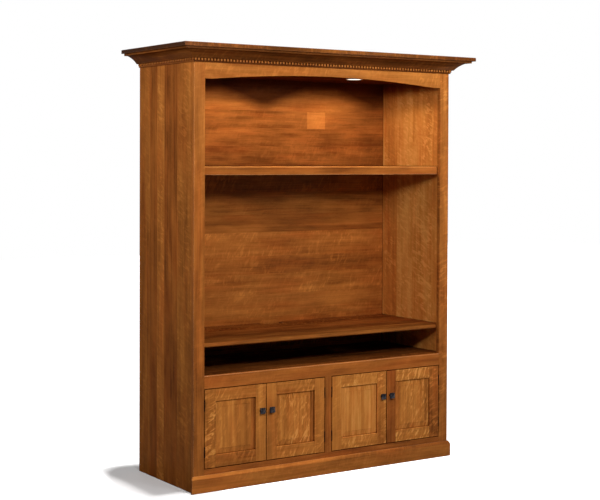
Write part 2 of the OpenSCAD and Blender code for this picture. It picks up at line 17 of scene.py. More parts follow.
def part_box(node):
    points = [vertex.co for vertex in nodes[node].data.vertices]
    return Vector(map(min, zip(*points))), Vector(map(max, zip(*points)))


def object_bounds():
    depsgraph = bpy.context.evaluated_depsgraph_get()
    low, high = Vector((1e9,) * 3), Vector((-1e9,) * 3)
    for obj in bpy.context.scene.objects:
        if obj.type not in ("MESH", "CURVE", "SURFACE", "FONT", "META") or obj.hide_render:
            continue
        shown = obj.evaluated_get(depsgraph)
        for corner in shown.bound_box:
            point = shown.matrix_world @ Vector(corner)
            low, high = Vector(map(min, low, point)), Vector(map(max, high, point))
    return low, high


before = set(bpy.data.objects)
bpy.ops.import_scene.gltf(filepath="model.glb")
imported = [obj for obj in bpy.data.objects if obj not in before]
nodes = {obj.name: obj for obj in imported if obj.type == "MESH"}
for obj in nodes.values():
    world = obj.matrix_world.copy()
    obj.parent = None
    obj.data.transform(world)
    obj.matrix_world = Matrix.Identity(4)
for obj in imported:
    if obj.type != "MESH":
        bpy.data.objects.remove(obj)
cad_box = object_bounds()
low, high = Vector(cad_box[0]), Vector(cad_box[1])
print("pieces:", len(nodes), "size in mm:", [round(1000 * side) for side in high - low])

# %% [markdown]
# ## Camera
# A tall case looks right only from one place: the slope of every shelf and the lean of every upright
# depend on where the camera stands. It could be pushed about by hand until the picture looks about
# right. Here its place and turn were worked out from the straight edges of the case, which leaves
# nothing to guess. It stands to the left of the unit, about half a metre below its top, and looks
# slightly down. The picture is cropped from a larger one, so the optical centre isn't the picture's
# own centre, and the lens shift takes that up. The first three values are in pixels.

# %% Camera
PICTURE = (600, 500)
OPTICAL_CENTRE = (347.2, 181.0)
FOCAL_LENGTH = 1364.4
SENSOR_WIDTH = 36
CAMERA_PLACE = (-3.7312, -5.8169, 1.5542)
TURN, TILT, ROLL = 34.51, 0.93, 0.24

camera_data = bpy.data.cameras.new("camera")
camera_data.sensor_width = SENSOR_WIDTH
camera_data.lens = FOCAL_LENGTH * SENSOR_WIDTH / PICTURE[0]
camera_data.shift_x = (PICTURE[0] / 2 - OPTICAL_CENTRE[0]) / PICTURE[0]
camera_data.shift_y = (OPTICAL_CENTRE[1] - PICTURE[1] / 2) / PICTURE[0]
camera = bpy.data.objects.new("camera", camera_data)
bpy.context.scene.collection.objects.link(camera)
camera.matrix_world = (
    Matrix.Translation(CAMERA_PLACE)
    @ Matrix.Rotation(math.radians(-TURN), 4, "Z")
    @ Matrix.Rotation(math.radians(90 - TILT), 4, "X")
    @ Matrix.Rotation(math.radians(ROLL), 4, "Z")
)
bpy.context.scene.camera = camera
bpy.context.scene.view_settings.view_transform = "Standard"
print("lens:", round(camera_data.lens, 1), "mm")

# %% [markdown]
# ## Small helpers for shader nodes
# A finish is a tree of nodes that hand values to each other through sockets. Each node could be made
# and wired line by line, but the oak alone has almost seventy of them. These helpers place one node
# each and hand back the socket that the next one needs, so that a long tree reads like a few lines of
# arithmetic. A value given to them is either a plain number or another node's socket.


# %% Placing nodes
def feed(tree, socket, value):
    if isinstance(value, bpy.types.NodeSocket):
        tree.links.new(value, socket)
    else:
        socket.default_value = value


def place(tree, kind, inputs, **settings):
    made = tree.nodes.new(kind)
    for name, value in settings.items():
        setattr(made, name, value)
    for name, value in inputs.items():
        feed(tree, made.inputs[name], value)
    return made


def calc(tree, operation, a, b=0.0):
    return place(tree, "ShaderNodeMath", {0: a, 1: b}, operation=operation).outputs[0]


def vector_calc(tree, operation, a, b=(0.0, 0.0, 0.0), output="Vector"):
    return place(tree, "ShaderNodeVectorMath", {0: a, 1: b}, operation=operation).outputs[output]


def remap(tree, value, start, end, to_start=0.0, to_end=1.0):
    inputs = {"Value": value, "From Min": start, "From Max": end, "To Min": to_start, "To Max": to_end}
    return place(tree, "ShaderNodeMapRange", inputs).outputs["Result"]


print("helpers: feed, place, calc, vector_calc, remap")

# %% [markdown]
# Effects that several materials share, such as the grain, are node groups. A group could be copied
# by hand into each material, but then a change would have to be made everywhere. This helper starts a
# group from the list of what it takes and the list of what it gives back.


# %% Starting a group
def new_group(name, takes, gives):
    tree = bpy.data.node_groups.new(name, "ShaderNodeTree")
    for label, kind, value in takes:
        socket = tree.interface.new_socket(name=label, in_out="INPUT", socket_type="NodeSocket" + kind)
        if value is not None:
            socket.default_value = value
    for label, kind in gives:
        tree.interface.new_socket(name=label, in_out="OUTPUT", socket_type="NodeSocket" + kind)
    source = tree.nodes.new("NodeGroupInput").outputs
    result = tree.nodes.new("NodeGroupOutput").inputs
    return tree, source, result


print("helper: new_group")

# %% [markdown]
# ## Along the grain
# On the real case the grain runs upright in sides and stiles, from side to side in rails and shelves,
# and front to back in the ends of the crown. Each direction could have its own oak. Instead this
# group turns a point of the room into board coordinates: across the grain, into the depth of the
# board, and along the grain. One oak then serves every piece. The group also tells where a face cuts
# the grain end on, because end grain drinks more stain.

# %% Board coordinates
END_GRAIN = (0.60, 0.95)

board_space, takes, gives = new_group(
    "Board space",
    [
        ("Point", "Vector", None),
        ("Facing", "Vector", None),
        ("Across", "Vector", (1, 0, 0)),
        ("Along", "Vector", (0, 0, 1)),
    ],
    [("Board", "Vector"), ("End grain", "Float")],
)


def along_direction(point, direction):
    return vector_calc(board_space, "DOT_PRODUCT", point, direction, "Value")


depth_way = vector_calc(board_space, "CROSS_PRODUCT", takes["Along"], takes["Across"])
ways = {"X": takes["Across"], "Y": depth_way, "Z": takes["Along"]}
coordinates = {axis: along_direction(takes["Point"], way) for axis, way in ways.items()}
turned = place(board_space, "ShaderNodeCombineXYZ", coordinates).outputs["Vector"]
feed(board_space, gives["Board"], turned)
end_on = calc(board_space, "ABSOLUTE", along_direction(takes["Facing"], takes["Along"]))
feed(board_space, gives["End grain"], remap(board_space, end_on, *END_GRAIN))
print("group:", board_space.name)

# %% [markdown]
# ## Stained oak
# The unit is quarter-sawn oak. It shows straight growth lines, fine dark pores and ray flecks, which
# are short lighter ribbons that cross the grain at a slant. A brown-orange stain sinks in unevenly
# and leaves soft blotches. A picture of a board could be laid over each piece, but it would repeat on
# a case this size and blur close up. So each of those marks is a layer of noise, stretched by its own
# amount along the grain, and their sum picks a colour from a ramp of stains.

# %% Oak group
STAINS = [
    (0.00, (0.060, 0.018, 0.004)),
    (0.25, (0.170, 0.052, 0.010)),
    (0.50, (0.400, 0.130, 0.024)),
    (0.75, (0.620, 0.222, 0.042)),
    (1.00, (0.800, 0.360, 0.085)),
]
FLECK_LEAN = 0.42
FIGURE = 0.34

oak, takes, gives = new_group(
    "Stained oak",
    [
        ("Board", "Vector", None),
        ("Seed", "Float", 0.0),
        ("Tone", "Float", 0.5),
        ("Flecks", "Float", 0.3),
        ("Lean", "Float", FLECK_LEAN),
        ("Redness", "Float", 0.0),
        ("End grain", "Float", 0.0),
        # The next three take painted shade for hollows, a mask of free edges and the strength of the
        # painted highlight on them.
        ("Painted shade", "Float", 0.0),
        ("Edge", "Float", 0.0),
        ("Edge highlight", "Float", 0.0),
        ("Figure", "Float", FIGURE),
    ],
    [("Colour", "Color"), ("Roughness", "Float"), ("Height", "Float")],
)
print("stains:", len(STAINS))

# %% [markdown]
# The layers differ only in how fine they are across the grain and along it, so they are one small
# table: waves per metre across, waves per metre along, and how much finer detail rides on top. Growth
# lines, for one, are about 13 mm wide and a metre long. A slow layer bends the lines a little, because
# no tree grows ruler straight. The seed moves each board to a stretch of wood of its own.

# %% Oak layers
LAYERS = {
    "wander": (5, 1.4, 2),
    "growth": (75, 0.9, 4),
    "fibres": (430, 9, 3),
    "pores": (1100, 42, 1),
    "blotches": (24, 5, 3),
    "clouds": (5, 1.6, 2),
    "hue": (17, 3.1, 2),
}
SEED_MOVE = (3.71, 1.93, 8.37)
BEND = 0.03
PORE_RANGE = (0.60, 0.74)


def pattern(tree, point, across, along, detail, distortion=0.0):
    stretched = vector_calc(tree, "MULTIPLY", point, (across, across, along))
    inputs = {"Vector": stretched, "Scale": 1.0, "Detail": detail, "Distortion": distortion}
    return place(tree, "ShaderNodeTexNoise", inputs).outputs["Fac"]


moved = place(oak, "ShaderNodeVectorMath", {0: SEED_MOVE, "Scale": takes["Seed"]}, operation="SCALE")
board = vector_calc(oak, "ADD", takes["Board"], moved.outputs["Vector"])
wander = calc(oak, "SUBTRACT", pattern(oak, board, *LAYERS["wander"]), 0.5)
bend = place(oak, "ShaderNodeCombineXYZ", {"X": calc(oak, "MULTIPLY", wander, BEND)})
bent = vector_calc(oak, "ADD", board, bend.outputs["Vector"])
growth, fibres, pores = [pattern(oak, bent, *LAYERS[name]) for name in ("growth", "fibres", "pores")]
blotches, clouds, hue = [pattern(oak, board, *LAYERS[name]) for name in ("blotches", "clouds", "hue")]
pores = remap(oak, pores, *PORE_RANGE)
print("nodes in the oak so far:", len(oak.nodes))

# %% [markdown]
# Ray flecks need more care than the other layers, because they make quarter-sawn oak what it is. They
# could be drawn as curves. Noise does it too: it is stretched across the grain, turned by the lean of
# the board and twisted a little, and only its crests are kept. A slower layer limits them to patches,
# since flecks show only where the saw met the rays. The whole wave also gives the wood a soft curl.

# %% Ray flecks
RIBBONS = (20, 62, 2)
RIBBON_TWIST = 1.0
RIBBON_CRESTS = (0.53, 0.62)
PATCHES = (11, 4, 2)
PATCH_RANGE = (0.42, 0.58)
CURL = 0.55

turn = {"Vector": board, "Angle": takes["Lean"]}
leaning = place(oak, "ShaderNodeVectorRotate", turn, rotation_type="Y_AXIS").outputs["Vector"]
ribbons = pattern(oak, leaning, *RIBBONS, distortion=RIBBON_TWIST)
patches = remap(oak, pattern(oak, board, *PATCHES), *PATCH_RANGE)
flecks = calc(oak, "MULTIPLY", remap(oak, ribbons, *RIBBON_CRESTS), patches)
flecks = calc(oak, "MULTIPLY", flecks, takes["Flecks"])
curl = calc(oak, "MULTIPLY", calc(oak, "SUBTRACT", ribbons, 0.5), CURL)
print("nodes in the oak with its flecks:", len(oak.nodes))

# %% [markdown]
# Each layer pushes the tone of the board up or down by its own weight, much as a stainer sees light
# and dark places in one board. The layers could be mixed as colours, one over another, but a single
# tone is easier to steer: a board is made lighter by one number, and the ramp keeps every tone inside
# the stain's own colours. Growth lines carry the figure, blotches the age of the stain, and fibres
# and pores are only read close up.

# %% Oak tone
WEIGHTS = {"fibres": 0.26, "blotches": 0.50, "clouds": 0.30}
PORE_DARK, FLECK_LIGHT, END_DARK = -0.12, 0.30, -0.20


def push(tone, layer, weight):
    offset = calc(oak, "MULTIPLY", calc(oak, "SUBTRACT", layer, 0.5), weight)
    return calc(oak, "ADD", tone, offset)


def add_share(tone, layer, weight):
    return calc(oak, "ADD", tone, calc(oak, "MULTIPLY", layer, weight))


tone = push(takes["Tone"], growth, takes["Figure"])
tone = push(tone, fibres, WEIGHTS["fibres"])
tone = push(tone, blotches, WEIGHTS["blotches"])
tone = push(tone, clouds, WEIGHTS["clouds"])
tone = add_share(tone, pores, PORE_DARK)
tone = add_share(tone, flecks, FLECK_LIGHT)
tone = add_share(tone, curl, takes["Flecks"])
tone = add_share(tone, takes["End grain"], END_DARK)
print("nodes in the oak with its tone:", len(oak.nodes))

# %% [markdown]
# The tone picks its stain. Some boards take the stain redder than others, and within a board the hue
# wanders a little. The painted highlight on free edges and the painted shade in hollows could be mixed
# in first, but they lie over the colour of the wood, so they come last. The satin lacquer is a little
# rougher on the raised fibres and smoother on a fleck. Blender's mix node has several sockets of one
# name, one for numbers and one for colours, so they are fetched by their place.

# %% Oak colours
RED_TINT = (1.06, 0.72, 0.66, 1.0)
HUE_RANGE, HUE_RED = (0.45, 0.70), 0.35
# The next two colours are the painted highlight on free edges and the painted shade in hollows.
HIGHLIGHT_COLOUR = (1.00, 0.56, 0.28, 1.0)
SHADE_COLOUR = (0.12, 0.06, 0.04, 1.0)
SATIN, FIBRE_ROUGH, FLECK_SMOOTH = 0.40, 0.20, -0.08
PORE_DEPTH = -0.8
MIX_SOCKETS, MIX_RESULT = (0, 6, 7), 2


def ramp(tree, value, stops, interpolation="LINEAR"):
    made = place(tree, "ShaderNodeValToRGB", {"Fac": value})
    band = made.color_ramp
    band.interpolation = interpolation
    while len(band.elements) < len(stops):
        band.elements.new(1.0)
    for element, (position, colour) in zip(band.elements, stops):
        element.position = position
        element.color = (*colour, 1.0)
    return made.outputs["Color"]


def mix(tree, factor, a, b, blend="MIX"):
    made = place(tree, "ShaderNodeMix", {}, data_type="RGBA", blend_type=blend)
    for index, value in zip(MIX_SOCKETS, (factor, a, b)):
        feed(tree, made.inputs[index], value)
    return made.outputs[MIX_RESULT]


redness = calc(oak, "ADD", takes["Redness"], remap(oak, hue, *HUE_RANGE, 0.0, HUE_RED))
stained = mix(oak, redness, ramp(oak, tone, STAINS), RED_TINT, "MULTIPLY")
# Painted highlight on the free edges, then painted shade in the hollows.
highlighted = mix(oak, calc(oak, "MULTIPLY", takes["Edge"], takes["Edge highlight"]), stained, HIGHLIGHT_COLOUR)
feed(oak, gives["Colour"], mix(oak, takes["Painted shade"], highlighted, SHADE_COLOUR, "MULTIPLY"))
satin = push(SATIN, fibres, FIBRE_ROUGH)
feed(oak, gives["Roughness"], add_share(satin, flecks, FLECK_SMOOTH))
feed(oak, gives["Height"], add_share(fibres, pores, PORE_DEPTH))
print("group:", oak.name, "nodes:", len(oak.nodes))

# %% [markdown]
# ## Crevices and edges
# Shade gathers in the gaps round the doors, under mouldings and along the steps of the panels, and
# the edges that stand free catch a thin line of light. Both are painted into the colour of the wood:
# painted shade in the hollows and a painted highlight on the edges. Both could be painted by hand on
# every piece. Ambient occlusion over a few millimetres finds the hollows by itself, and the same node
# turned inside the wood finds the edges, so one group serves every piece.

# %% Crevice group
CREVICE, RIDGE = 0.009, 0.0035
CREVICE_RANGE, RIDGE_RANGE = (0.82, 0.32), (0.85, 0.50)
RAYS = 8

crevices, takes, gives = new_group(
    "Crevices", [("Reach", "Float", CREVICE)], [("Painted shade", "Float"), ("Edge", "Float")]
)
# Ambient occlusion marks the hollows for painted shade, and the same node inside the wood marks the edges
# for a painted highlight.
hollow = place(crevices, "ShaderNodeAmbientOcclusion", {"Distance": takes["Reach"]}, samples=RAYS)
feed(crevices, gives["Painted shade"], remap(crevices, hollow.outputs["AO"], *CREVICE_RANGE))
ridge = place(crevices, "ShaderNodeAmbientOcclusion", {"Distance": RIDGE}, samples=RAYS, inside=True)
feed(crevices, gives["Edge"], remap(crevices, ridge.outputs["AO"], *RIDGE_RANGE))
print("group:", crevices.name, "reaches in mm:", round(1000 * CREVICE, 1), round(1000 * RIDGE, 1))

# %% [markdown]
# ## Boards glued side by side
# A wide panel of the case is glued up from narrower boards, and each keeps its own tone. Every board
# could be an object of its own, but a glued panel is one piece of wood to its maker. A colour ramp
# with constant steps is a neat way to write the boards down instead: every step is one board, its red
# channel holds the tone, its green channel the amount of fleck and its blue channel the redness. A
# list of boards gives the real place of each joint, as (edge, (tone, fleck, redness)). The last board
# is taken as wide enough to reach past any panel. A board's seed follows from its tone, so that
# neighbours of different tone don't share one pattern.

# %% Looks of the boards
SEED_PER_TONE = 37.0
LAST_WIDTH = 0.3


def board_looks(tree, across_grain, boards, seed):
    if len(boards) == 1:
        tone, fleck, red = boards[0][1]
        return {"Tone": tone, "Flecks": fleck, "Redness": red, "Seed": tone * SEED_PER_TONE + seed}
    start, end = boards[0][0], boards[-1][0] + LAST_WIDTH
    stops = [((edge - start) / (end - start), look) for edge, look in boards]
    steps = ramp(tree, remap(tree, across_grain, start, end), stops, "CONSTANT")
    looks = place(tree, "ShaderNodeSeparateColor", {"Color": steps}).outputs
    board_seed = calc(tree, "ADD", calc(tree, "MULTIPLY", looks["Red"], SEED_PER_TONE), seed)
    return {"Tone": looks["Red"], "Flecks": looks["Green"], "Redness": looks["Blue"], "Seed": board_seed}


print("helper: board_looks")

# %% [markdown]
# Now the groups come together in one material per piece: board coordinates, crevices, the looks of
# the boards and the oak. The oak's own shine is switched off and a thin satin coat lies over it,
# because lacquered wood shines through its lacquer and not through its fibres. One oak for the whole
# case would be shorter, but then neighbouring pieces would look cut from one slab.

# %% Oak material
AXES = {"x": (1.0, 0.0, 0.0), "y": (0.0, 1.0, 0.0), "z": (0.0, 0.0, 1.0)}
SEED_STEP = 1.37
GRAIN_RELIEF = (0.35, 0.0004)
LACQUER = {"Specular IOR Level": 0.0, "Coat Weight": 0.05, "Coat Roughness": 0.22}


def new_material(name):
    material = bpy.data.materials.new(name)
    material.use_nodes = True
    return material, material.node_tree, material.node_tree.nodes["Principled BSDF"]


def apply_finish(tree, shader, finish, strength, depth):
    inputs = {"Height": finish["Height"], "Strength": strength, "Distance": depth}
    relief = place(tree, "ShaderNodeBump", inputs)
    feed(tree, shader.inputs["Base Color"], finish["Colour"])
    feed(tree, shader.inputs["Roughness"], finish["Roughness"])
    feed(tree, shader.inputs["Normal"], relief.outputs["Normal"])


def oak_material(name, along, across, boards, lean, figure):
    seed = len(bpy.data.materials) * SEED_STEP
    material, tree, shader = new_material(name)
    where = place(tree, "ShaderNodeTexCoord", {}).outputs
    directions = {"Across": AXES[across], "Along": AXES[along]}
    directions |= {"Point": where["Object"], "Facing": where["Normal"]}
    space = place(tree, "ShaderNodeGroup", directions, node_tree=board_space).outputs
    across_grain = place(tree, "ShaderNodeSeparateXYZ", {"Vector": space["Board"]}).outputs["X"]
    masks = place(tree, "ShaderNodeGroup", {}, node_tree=crevices).outputs
    inputs = board_looks(tree, across_grain, boards, seed)
    inputs |= {"Board": space["Board"], "End grain": space["End grain"], "Lean": lean, "Figure": figure}
    inputs |= {"Painted shade": masks["Painted shade"], "Edge": masks["Edge"]}
    wood = place(tree, "ShaderNodeGroup", inputs, node_tree=oak, name="wood")
    apply_finish(tree, shader, wood.outputs, *GRAIN_RELIEF)
    for label, value in LACQUER.items():
        shader.inputs[label].default_value = value
    return material


print("helper: oak_material")

# %% [markdown]
# The wood of the real case comes in two kinds: glued up from boards, or cut from one plank. Planks
# could have a material of another kind, but a plank is just a glue-up with a single board. So two
# words dress the whole case, and both say which way the grain runs and which way the boards lie side
# by side.


# %% Glued panels and planks
def dress(name, material):
    mesh = nodes[name].data
    mesh.materials.clear()
    mesh.materials.append(material)


def glued(name, along, across, boards, lean=FLECK_LEAN, figure=FIGURE):
    dress(name, oak_material(name, along, across, boards, lean, figure))


def plank(name, along, across, tone, fleck, red):
    glued(name, along, across, [(0.0, (tone, fleck, red))])


print("helpers: dress, glued, plank")

# %% [markdown]
# ## Boards chosen by chance
# The shelves and the hidden panels of the real case are glued from whatever boards lay ready. Each
# could be listed by hand, but nobody would see the choice. So they are drawn from a seeded random
# list, which gives the same panel on every run. Widths and tones vary a little around what the maker
# would pick.

# %% Random glue-ups
TONE_SPREAD, WIDTH_SPREAD = 0.07, 0.25
MOST_FLECK, MOST_RED = 0.4, 0.3


def random_boards(start, end, width, tone, seed):
    draw = random.Random(seed)
    boards, edge = [], start
    while edge < end:
        board_tone = tone + draw.uniform(-TONE_SPREAD, TONE_SPREAD)
        boards.append((edge, (board_tone, MOST_FLECK * draw.random(), MOST_RED * draw.random())))
        edge += width * draw.uniform(1 - WIDTH_SPREAD, 1 + WIDTH_SPREAD)
    return boards


print("example edges:", [round(edge, 3) for edge, look in random_boards(0, 0.5, 0.1, 0.5, 1)])

# %% [markdown]
# ## The case
# The left side is the piece that the light shows best. Its boards run upright. From front to back
# they are one with ray flecks behind the face frame, a dark reddish one, a light one with a fine
# mottle, another dark reddish one and a plain one. In the picture the right side shows only its
# inner face. Its boards are given paler tones, partly their own colour and partly painted light from
# the lamps in the niche. Both could be left to chance, but their joints are plain to see, so their
# boards are listed. Only the partition, hidden behind the doors, is left to chance.

# %% Case sides
SIDE_BOARDS = [
    (-0.2115, (0.50, 0.3, 0.0)),
    (-0.067, (0.41, 0.1, 0.25)),
    (0.062, (0.60, 0.4, 0.15)),
    (0.141, (0.43, 0.1, 0.25)),
    (0.217, (0.51, 0.2, 0.1)),
]
# The right side's paler tones are partly its own colour and partly painted light from the lamps in the
# niche.
RIGHT_BOARDS = [
    (-0.2115, (0.74, 0.3, 0.0)),
    (-0.120, (0.80, 0.6, 0.0)),
    (0.050, (0.88, 0.5, 0.0)),
    (0.190, (0.72, 0.4, 0.1)),
    (0.305, (0.80, 0.2, 0.0)),
]
glued("left_side_panel", "z", "y", SIDE_BOARDS)
glued("right_side_panel", "z", "y", RIGHT_BOARDS)
glued("centre_partition", "z", "y", random_boards(start=-0.22, end=0.33, width=0.11, tone=0.48, seed=5))
print("boards of the left side:", len(SIDE_BOARDS), "of the right side:", len(RIGHT_BOARDS))

# %% [markdown]
# The face frame is solid stock, cut from planks. One finish could run over the whole front, but that
# would look like a printed sheet. Stiles and mullion run upright and the rails run across, so the
# grain turns at every joint, and that is what makes a frame read as joined wood. The base moulding is
# a plank as well. Each row gives the way of the grain, the way across it, and the plank's tone, fleck
# and redness.

# %% Face frame
FRAME_PLANKS = {
    "left_frame_stile": ("z", "x", 0.49, 0.12, 0.1),
    "right_frame_stile": ("z", "x", 0.53, 0.5, 0.1),
    "centre_mullion": ("z", "x", 0.48, 0.1, 0.2),
    "arched_top_rail": ("x", "z", 0.58, 0.3, 0.0),
    "mid_rail": ("x", "z", 0.50, 0.1, 0.25),
    "bottom_rail": ("x", "z", 0.46, 0.1, 0.3),
    "base_moulding": ("x", "z", 0.55, 0.15, 0.05),
}
for name, look in FRAME_PLANKS.items():
    plank(name, *look)
print("planks in the face frame and the base:", len(FRAME_PLANKS))

# %% [markdown]
# Shelves and backs are wide glue-ups with the grain running from side to side. The back of the
# display niche is lit by its own lights, so its broad courses are listed, with a quieter figure than
# the rest. The other backs and the shelves could be listed too, but chance does as well there, and
# only their tones are given: the ceiling of the niche and the deck of the low bay are darkest. The
# thick nosing of the upper shelf is a plank.

# %% Shelves and backs
# The courses grow darker toward the shelf: painted shade where the light of the pucks falls off.
NICHE_BOARDS = [
    (1.45, (0.33, 0.15, 0.2)),
    (1.616, (0.36, 0.1, 0.2)),
    (1.712, (0.40, 0.1, 0.15)),
    (1.803, (0.49, 0.1, 0.2)),
    (1.895, (0.46, 0.1, 0.2)),
]
# The dark tones of the niche's ceiling and of the low bay's deck are painted shade, since the lamps hardly
# reach them.
SHELF_TONES = {
    "top_panel": 0.16,
    "upper_shelf": 0.30,
    "tv_shelf": 0.35,
    "component_deck": 0.19,
    "bottom_panel": 0.46,
    "left_adjustable_shelf": 0.46,
    "right_adjustable_shelf": 0.46,
}
NICHE_FIGURE = 0.22
FIRST_SHELF_SEED = 20

glued("upper_back_panel", "x", "z", NICHE_BOARDS, figure=NICHE_FIGURE)
glued("tv_back_panel", "x", "z", random_boards(start=0.60, end=1.50, width=0.12, tone=0.50, seed=11))
glued("lower_back_panel", "x", "z", random_boards(start=0.05, end=0.65, width=0.12, tone=0.48, seed=12))
for seed, (name, tone) in enumerate(SHELF_TONES.items(), FIRST_SHELF_SEED):
    glued(name, "x", "y", random_boards(start=-0.25, end=0.34, width=0.13, tone=tone, seed=seed))
plank("upper_shelf_nosing", "x", "z", 0.49, 0.05, 0.2)
print("courses in the niche:", len(NICHE_BOARDS), "shelves:", len(SHELF_TONES))

# %% [markdown]
# ## Marks in one place
# Some marks belong to one place only. In the back of the niche one course is pieced from short
# lengths, and one of them is clearly lighter. It could be cut out as a piece of its own, but it is
# glued into the panel. So a window in room coordinates, which is 1 inside its ranges and 0 outside,
# limits a change of tone to that place. The change is one number, or a slope along an axis, given as
# (axis, start, end, first amount, last amount).


# %% A light length in the back
def room_axes(tree):
    point = place(tree, "ShaderNodeTexCoord", {}).outputs["Object"]
    return place(tree, "ShaderNodeSeparateXYZ", {"Vector": point}).outputs


def window(tree, ranges):
    inside = 1.0
    for axis, (start, end) in ranges.items():
        spot = room_axes(tree)[axis]
        inside = calc(tree, "MULTIPLY", inside, calc(tree, "GREATER_THAN", spot, start))
        inside = calc(tree, "MULTIPLY", inside, calc(tree, "LESS_THAN", spot, end))
    return inside


def wood_of(name):
    tree = nodes[name].data.materials[0].node_tree
    return tree, tree.nodes["wood"].inputs


def shift_tone(name, change, ranges=None):
    tree, wood_inputs = wood_of(name)
    tone = wood_inputs["Tone"]
    before = tone.links[0].from_socket if tone.links else tone.default_value
    if isinstance(change, tuple):
        axis, start, end, first, last = change
        change = remap(tree, room_axes(tree)[axis], start, end, first, last)
    if ranges:
        change = calc(tree, "MULTIPLY", window(tree, ranges), change)
    feed(tree, tone, calc(tree, "ADD", before, change))


LIGHT_LENGTH = {"X": (0.228, 0.344), "Z": (1.712, 1.803)}
LIGHTER = 0.15
shift_tone("upper_back_panel", LIGHTER, LIGHT_LENGTH)
print("light length in mm:", [round(1000 * (end - start)) for start, end in LIGHT_LENGTH.values()])

# %% [markdown]
# The top of the niche is nearly black, because its lights shine downward. Each throws a pool on the
# back, with a dark wedge between the two. Lamps alone could do that only with very exact cones. So
# painted shade, in the same dark colour as in the crevices, lies over the top as a slope, and it
# reaches lower the farther a point is from the nearest pool. A window keeps it on the inner faces,
# because the other faces of the same pieces get no painted shade. SKIN is the depth of a window that
# holds just one face.

# %% Dark top of the niche
POOLS_OF_LIGHT = (-0.40, 0.32)
POOL_RIM, WEDGE_MIDDLE, WEDGE_DEPTH = 0.10, 0.34, 0.085
BACK_DARK, SIDE_DARK = (1.878, 1.942), (1.885, 1.950)
DARKEST = 0.85
BEYOND, SKIN = 9.0, 0.001


def wedge(tree, depth):
    x = room_axes(tree)["X"]
    left, right = [calc(tree, "ABSOLUTE", calc(tree, "SUBTRACT", x, pool)) for pool in POOLS_OF_LIGHT]
    return remap(tree, calc(tree, "MINIMUM", left, right), POOL_RIM, WEDGE_MIDDLE, 0.0, depth)


def darken_top(name, heights, ranges, depth=0.0):
    tree, wood_inputs = wood_of(name)
    height = calc(tree, "ADD", room_axes(tree)["Z"], wedge(tree, depth))
    dark = calc(tree, "MULTIPLY", remap(tree, height, *heights, 0.0, DARKEST), window(tree, ranges))
    crevice = wood_inputs["Painted shade"].links[0].from_socket
    feed(tree, wood_inputs["Painted shade"], calc(tree, "MAXIMUM", crevice, dark))


INNER_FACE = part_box("right_side_panel")[0].x
BACK_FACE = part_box("upper_back_panel")[0].y
# Painted shade on the top of the niche's back and on the top of the right side's inner face.
darken_top("upper_back_panel", BACK_DARK, {"Y": (-BEYOND, BACK_FACE + SKIN)}, WEDGE_DEPTH)
darken_top("right_side_panel", SIDE_DARK, {"X": (0.0, INNER_FACE + SKIN)})
print("inner face of the right side at x =", round(INNER_FACE, 4))

# %% [markdown]
# ## Crown
# The cove and the dentil strip are run from straight stock and mitred at the corners, and a cap board
# lies over them. One grain for all would cross the side lengths the wrong way, so the grain follows
# each length round the case. Cap and cove are given darker tones than the rest, and the left end of
# the cap is darker still. The coat of lacquer is thicker on the cap and thinner on the faces that
# would otherwise mirror the lamps.

# %% Crown
plank("crown_cap", "x", "y", 0.26, 0.3, 0.0)
plank("crown_front", "x", "z", 0.16, 0.2, 0.0)
plank("dentil_front", "x", "z", 0.50, 0.2, 0.0)
for side in ("left", "right"):
    plank(f"crown_{side}", "y", "z", 0.22, 0.2, 0.0)
    plank(f"dentil_{side}", "y", "z", 0.50, 0.2, 0.2)
CAP_END, CAP_END_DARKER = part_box("crown_cap")[0].x, -0.14
shift_tone("crown_cap", CAP_END_DARKER, {"X": (-BEYOND, CAP_END + SKIN)})


def shader_of(name):
    return nodes[name].data.materials[0].node_tree.nodes["Principled BSDF"]


COATS = {"crown_cap": 0.08, "left_side_panel": 0.02, "component_deck": 0.0, "crown_left": 0.02}
for name, coat in COATS.items():
    shader_of(name).inputs["Coat Weight"].default_value = coat
print("left end of the cap at x =", round(CAP_END, 4), "coats changed:", len(COATS))

# %% [markdown]
# Painted shade fills the hollows between the dentil blocks and covers the band below them, where the
# blocks cast shade, and the faces of the blocks get none. The crevice group alone would darken such
# small hollows too softly.
# How far a point stands out past the case tells block and band apart exactly, on the front and on
# both sides alike, so that distance takes the place of the crevice mask here.

# %% Painted shade between the dentil blocks
HALF_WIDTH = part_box("right_side_panel")[1].x
CASE_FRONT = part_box("arched_top_rail")[0].y
BLOCKS_OUT = CASE_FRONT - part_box("dentil_front")[0].y
BAND_OUT = 0.006
# The amounts are painted shade on the band and between the blocks.
DENTIL_SHADE = {"dentil_front": 0.85, "dentil_left": 0.5, "dentil_right": 0.5}

for name, amount in DENTIL_SHADE.items():
    tree, wood_inputs = wood_of(name)
    spot = room_axes(tree)
    past_side = calc(tree, "SUBTRACT", calc(tree, "ABSOLUTE", spot["X"]), HALF_WIDTH)
    past_front = calc(tree, "SUBTRACT", CASE_FRONT, spot["Y"])
    stands_out = calc(tree, "MAXIMUM", past_side, past_front)
    feed(tree, wood_inputs["Painted shade"], remap(tree, stands_out, BAND_OUT, BLOCKS_OUT, amount, 0.0))
print("blocks stand out", round(1000 * BLOCKS_OUT, 1), "mm")

# %% [markdown]
# ## Doors
# A door is five pieces of wood: two upright stiles, two rails in one node, and a raised panel with
# upright grain. One door could be dressed and copied four times, but no two doors of a real case
# match. So each has its own looks for hinge stile, meeting stile and rails, and a panel glued from
# three boards. The panels were cut for show, with a bold figure and flecks that lean far over.

